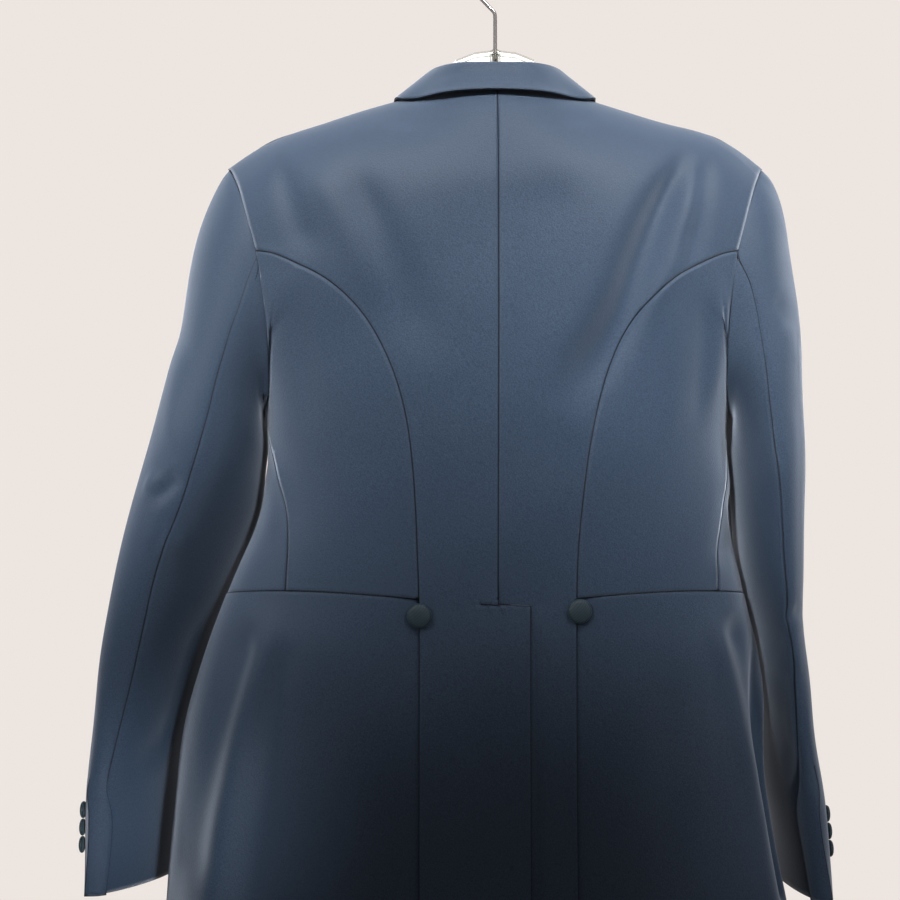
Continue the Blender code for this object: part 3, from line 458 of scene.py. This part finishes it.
def armhole_line(side):
    """Places along the middle of the body's cut edges, of which the armhole is the nearest to the sleeve."""
    places = []
    for part in ("back_", "side_body_", "forepart_"):
        grid = quads_of(part + side)
        for face in cut_faces(grid):
            ends = [edge for edge in face.edges if through_cloth(edge)]
            middles = [(edge.verts[0].co + edge.verts[1].co) / 2 for edge in ends[:2]]
            places += between(middles[0], middles[1], ARMHOLE_STEP)
        grid.free()
    return tree_of(places)


def set_into_armhole(grid, line, sign):
    """Moves a sleeve's upper cut edge onto the armhole seam, both faces of the cloth together."""
    inward = Vector((INTO_THE_BODY.x * sign, 0.0, INTO_THE_BODY.z))
    shifts = {}
    for face in cut_faces(grid):
        if face.normal.dot(inward) < TOWARDS:
            continue
        for edge in face.edges:
            if through_cloth(edge):
                middle = (edge.verts[0].co + edge.verts[1].co) / 2
                place, _, far = line.find(middle)
                if far < ARMHOLE_REACH:
                    for vert in edge.verts:
                        shifts[vert] = place - middle
    for vert, shift in shifts.items():
        vert.co += shift


SLEEVE_LEFT_FOLDS = [
    ([(0.292, -0.470), (0.276, -0.459), (0.262, -0.446)], (0.006, 0.009), -0.0036),
    ([(0.298, -0.452), (0.286, -0.456), (0.276, -0.448)], 0.008, 0.0022),
    ([(0.284, -0.500), (0.270, -0.506), (0.256, -0.500)], 0.010, 0.0022),
    ([(0.266, -0.656), (0.296, -0.686), (0.321, -0.713)], 0.012, -0.0026),
    ([(0.268, -0.330), (0.271, -0.390), (0.270, -0.440)], 0.010, 0.0018),
    ([(0.250, -0.560), (0.262, -0.620), (0.290, -0.700)], 0.016, -0.0024),
]
SLEEVE_RIGHT_FOLDS = [
    ([(-0.262, -0.560), (-0.250, -0.566), (-0.240, -0.560)], 0.007, -0.0030),
    ([(-0.250, -0.576), (-0.246, -0.600), (-0.244, -0.625)], 0.005, 0.0018),
    ([(-0.252, -0.590), (-0.254, -0.640), (-0.257, -0.690)], 0.0045, 0.0020, 0.2),
    ([(-0.232, -0.440), (-0.236, -0.500), (-0.240, -0.550)], 0.014, -0.0020),
    ([(-0.252, -0.330), (-0.238, -0.310), (-0.226, -0.300)], 0.010, -0.0014),
]
for side, sign, folds in (("left", 1, SLEEVE_LEFT_FOLDS), ("right", -1, SLEEVE_RIGHT_FOLDS)):
    away = sleeve_out_for(side)
    line = armhole_line(side)
    for part, cut in (("top_sleeve_", (0.24, 0.65, 0.72)), ("under_sleeve_", (0.16, 0.56, 0.70))):
        sleeve_grid = quads_of(part + side)
        set_into_armhole(sleeve_grid, line, sign)
        close_seams(sleeve_grid, 2 * SEAM_CLOSING)
        cloth_piece(part + side, sleeve_grid, 3, away, cut, behind=folds)

# The buttons: a domed metal shell covered in fine ribbed cloth, gathered under its rim and sewn on by a
# shank of thread. The ribs catch the light in fine lines over a dark ground, and their colour is painted
# lighter on the crests and darker between them: painted highlight and painted shade.
ribbed_button_cloth = new_material("ribbed_button_cloth", Roughness=0.55, Specular_IOR_Level=0.15,
                                   Sheen_Weight=0.10, Sheen_Tint=linear("#8fa9b4"))
place = add_node(ribbed_button_cloth, "ShaderNodeTexCoord").outputs["Object"]
# Real ribs are 0.5 mm apart and would blur in the picture, so they are drawn 2 mm apart.
ribs = add_node(ribbed_button_cloth, "ShaderNodeTexWave", {"bands_direction": "DIAGONAL"}, {"Vector": place},
                Scale=225.0, Distortion=0.4, Detail=1.0)
ribbing = add_node(ribbed_button_cloth, "ShaderNodeBump", links={"Height": ribs.outputs["Fac"]},
                   Strength=0.3, Distance=0.0002)
# The colour follows the ribs' height: painted highlight on their crests, painted shade between them.
shade = add_node(ribbed_button_cloth, "ShaderNodeMix", {"data_type": "RGBA"}, {"Factor": ribs.outputs["Fac"]},
                 A=linear("#0d171b"), B=linear("#15232a"))
feed(ribbed_button_cloth, Base_Color=shade.outputs["Result"], Normal=ribbing.outputs["Normal"])

BUTTON_ROUND = 41      # points once round a button, with the first also the last
BUTTON_OVER = 25       # points from the middle of its face to the middle of its back
RIM = 0.9              # a point of the solid beyond this share of the radius is on its rim
# Share of the way over the button from the middle of its face to the middle of its back, radius, height.
BUTTON_PROFILE = [(0.00, 0.00, 1.00), (0.16, 0.40, 0.97), (0.30, 0.70, 0.86), (0.40, 0.86, 0.74),
                  (0.48, 0.96, 0.56), (0.54, 1.00, 0.36), (0.60, 0.97, 0.16), (0.66, 0.90, 0.04),
                  (0.72, 0.80, 0.00), (1.00, 0.00, 0.00)]


def button_tree():
    """Geometry nodes that turn the profile round into a closed button, and set it in its place."""
    tree = bpy.data.node_groups.new("covered_button", "GeometryNodeTree")
    sockets = [("Radius", "NodeSocketFloat"), ("Height", "NodeSocketFloat"), ("Place", "NodeSocketVector"),
               ("Turn", "NodeSocketVector"), ("Cloth", "NodeSocketMaterial")]
    for name, kind in sockets:
        tree.interface.new_socket(name, in_out="INPUT", socket_type=kind)
    tree.interface.new_socket("Button", in_out="OUTPUT", socket_type="NodeSocketGeometry")
    given = tree.nodes.new("NodeGroupInput").outputs

    def step(kind, links=None, **values):
        node = tree.nodes.new(kind)
        for name, value in values.items():
            node.inputs[name.replace("_", " ")].default_value = value
        for name, output in (links or {}).items():
            tree.links.new(output, node.inputs[name])
        return node

    def curve(column, share):
        node = tree.nodes.new("ShaderNodeFloatCurve")
        points = node.mapping.curves[0].points
        points[0].location = (BUTTON_PROFILE[0][0], BUTTON_PROFILE[0][column])
        points[1].location = (BUTTON_PROFILE[-1][0], BUTTON_PROFILE[-1][column])
        for row in BUTTON_PROFILE[1:-1]:
            points.new(row[0], row[column])
        node.mapping.update()
        tree.links.new(share, node.inputs["Value"])
        return node.outputs["Value"]

    def math_step(operation, a, b=None):
        node = tree.nodes.new("ShaderNodeMath")
        node.operation = operation
        for socket, value in zip(node.inputs, (a, b)):
            if hasattr(value, "links"):
                tree.links.new(value, socket)
            elif value is not None:
                socket.default_value = value
        return node.outputs["Value"]

    blank = step("GeometryNodeMeshGrid", Size_X=1.0, Size_Y=1.0, Vertices_X=BUTTON_ROUND,
                 Vertices_Y=BUTTON_OVER)
    shares = step("ShaderNodeSeparateXYZ", {"Vector": blank.outputs["UV Map"]})
    # The turn is a negative one, because that way round the faces look outward.
    turn = math_step("MULTIPLY", shares.outputs["X"], -2 * math.pi)
    radius = math_step("MULTIPLY", curve(1, shares.outputs["Y"]), given["Radius"])
    height = math_step("MULTIPLY", curve(2, shares.outputs["Y"]), given["Height"])
    place = step("ShaderNodeCombineXYZ", {"X": math_step("MULTIPLY", radius, math_step("COSINE", turn)),
                                          "Y": math_step("MULTIPLY", radius, math_step("SINE", turn)),
                                          "Z": height})
    turned = step("GeometryNodeSetPosition", {"Geometry": blank.outputs["Mesh"],
                                              "Position": place.outputs["Vector"]})
    closed = step("GeometryNodeMergeByDistance", {"Geometry": turned.outputs["Geometry"]}, Distance=0.00001)
    set_down = step("GeometryNodeTransform", {"Geometry": closed.outputs["Geometry"],
                                              "Translation": given["Place"], "Rotation": given["Turn"]})
    real = step("GeometryNodeRealizeInstances", {"Geometry": set_down.outputs["Geometry"]})
    covered = step("GeometryNodeSetMaterial", {"Geometry": real.outputs["Geometry"],
                                               "Material": given["Cloth"]})
    leaving = tree.nodes.new("NodeGroupOutput")
    tree.links.new(covered.outputs["Geometry"], leaving.inputs["Button"])
    return tree


def made_by(tree, name, **values):
    """A plain mesh from a tree of geometry nodes and its named inputs."""
    carrier = bpy.data.objects.new(name + "_blank", bpy.data.meshes.new(name + "_blank"))
    bpy.context.scene.collection.objects.link(carrier)
    nodes = carrier.modifiers.new("Nodes", "NODES")
    nodes.node_group = tree
    for item in tree.interface.items_tree:
        if item.in_out == "INPUT":
            nodes[item.identifier] = values[item.name]
    mesh = bpy.data.meshes.new_from_object(carrier.evaluated_get(bpy.context.evaluated_depsgraph_get()))
    bpy.data.objects.remove(carrier)
    piece = bpy.data.objects.new(name + "_piece", mesh)
    bpy.context.scene.collection.objects.link(piece)
    return piece


covered_button = button_tree()
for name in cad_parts:
    if "button" not in name:
        continue
    points = points_of(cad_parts[name].data)
    middle = points.mean(axis=0)
    out = Vector(np.linalg.svd(points - middle)[2][2])
    heights = (points - middle) @ out
    wide = np.linalg.norm(points - middle - heights[:, None] * np.array(out), axis=1)
    if heights[wide > RIM * wide.max()].mean() > (heights.max() + heights.min()) / 2:
        out, heights = -out, -heights
    foot = Vector(middle) + out * heights.min()
    button = made_by(covered_button, name, Radius=float(wide.max()), Height=float(np.ptp(heights)),
                     Place=foot, Turn=out.to_track_quat("Z", "Y").to_euler(), Cloth=ribbed_button_cloth)
    for face in button.data.polygons:
        face.use_smooth = True
    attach(button, "root")
    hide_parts(name)

# The setting: a pale floor well below the hem, in a pale room. The camera sees the wall at its full
# brightness, past the coat and through the clear hanger. The coat is lit by half of it, as by a wall that is
# shaded from the light, and by the lamps.
FLOOR_Z = -1.62
FLOOR_SIDE = 4.6
bpy.ops.mesh.primitive_plane_add(size=FLOOR_SIDE, location=(0, 0, FLOOR_Z))
floor = bpy.context.object
floor.name = "floor"
floor.data.materials.append(new_material("pale_painted_floor", Base_Color=linear("#d9d3cb"), Roughness=0.7))

WALL = linear("#ede5e0")
SHADE = [0.012, 0.022, 0.050, 1.0]
WALL_SHARE = 0.5     # of the light that the room gives the coat; the rest has the colour of the shade
room = bpy.data.worlds.new("pale_room")
bpy.context.scene.world = room
room.use_nodes = True
path_kind = add_node(room, "ShaderNodeLightPath")
seen = None
for ray in ("Is Camera Ray", "Is Transmission Ray", "Is Singular Ray"):
    either = add_node(room, "ShaderNodeMath", {"operation": "MAXIMUM"})
    room.node_tree.links.new(path_kind.outputs[ray], either.inputs[0])
    if seen:
        room.node_tree.links.new(seen.outputs["Value"], either.inputs[1])
    else:
        either.inputs[1].default_value = WALL_SHARE
    seen = either
wall = add_node(room, "ShaderNodeMix", {"data_type": "RGBA"}, {"Factor": seen.outputs["Value"]},
                A=SHADE, B=WALL)
room.node_tree.links.new(wall.outputs["Result"], room.node_tree.nodes["Background"].inputs["Color"])
bpy.context.scene.view_settings.view_transform = "Standard"

# Each lamp is a round panel: its name, place, the point that it faces, diameter, watts, and spread in
# degrees. A wide one hangs overhead, narrow beams fall on the shoulders and down the sleeves, and a large
# one stands in front.
LAMPS = [
    ("overhead", (0.0, 0.05, 0.60), (0.0, 0.05, -0.40), 0.6, 2.5, 180.0),
    ("left_shoulder", (0.45, 0.80, 0.70), (0.18, 0.05, -0.12), 0.4, 2.1, 20.0),
    ("right_shoulder", (-0.45, 0.80, 0.70), (-0.18, 0.05, -0.14), 0.4, 2.2, 20.0),
    ("left_sleeve", (1.10, 0.80, 0.0), (0.32, -0.02, -0.42), 0.3, 1.1, 24.0),
    ("right_sleeve", (-1.10, 0.80, 0.0), (-0.28, -0.02, -0.42), 0.3, 0.55, 24.0),
    ("left_under_sleeve", (-0.50, 1.30, 0.10), (0.25, -0.02, -0.46), 0.3, 0.38, 15.0),
    ("right_under_sleeve", (0.50, 1.30, 0.10), (-0.23, -0.02, -0.43), 0.3, 0.75, 15.0),
    ("left_cuff", (-0.20, 1.30, -0.50), (0.34, -0.04, -0.76), 0.2, 0.30, 9.0),
    ("right_cuff", (-0.70, 1.20, -0.40), (-0.31, -0.04, -0.74), 0.3, 0.28, 13.0),
    ("front_fill", (0.0, -1.6, 0.30), (0.0, 0.0, -0.5), 1.2, 7.0, 180.0),
]
for name, place, faced, diameter, watts, spread in LAMPS:
    light = bpy.data.lights.new(name, "AREA")
    light.shape = "DISK"
    light.size = diameter
    light.energy = watts
    light.spread = math.radians(spread)
    lamp = bpy.data.objects.new(name, light)
    lamp.location = place
    lamp.rotation_euler = (Vector(faced) - Vector(place)).to_track_quat("-Z", "Y").to_euler()
    lamp.visible_camera = False
    bpy.context.scene.collection.objects.link(lamp)

# The camera looks at the coat's back from shoulder-blade height, as in the photograph.
camera = bpy.data.cameras.new("camera")
camera.lens = 62
camera.sensor_width = 36
viewer = bpy.data.objects.new("camera", camera)
viewer.location = (0.0393, 1.35, -0.427)
viewer.rotation_euler = (math.radians(90), 0, math.radians(180))
bpy.context.scene.collection.objects.link(viewer)
bpy.context.scene.camera = viewer
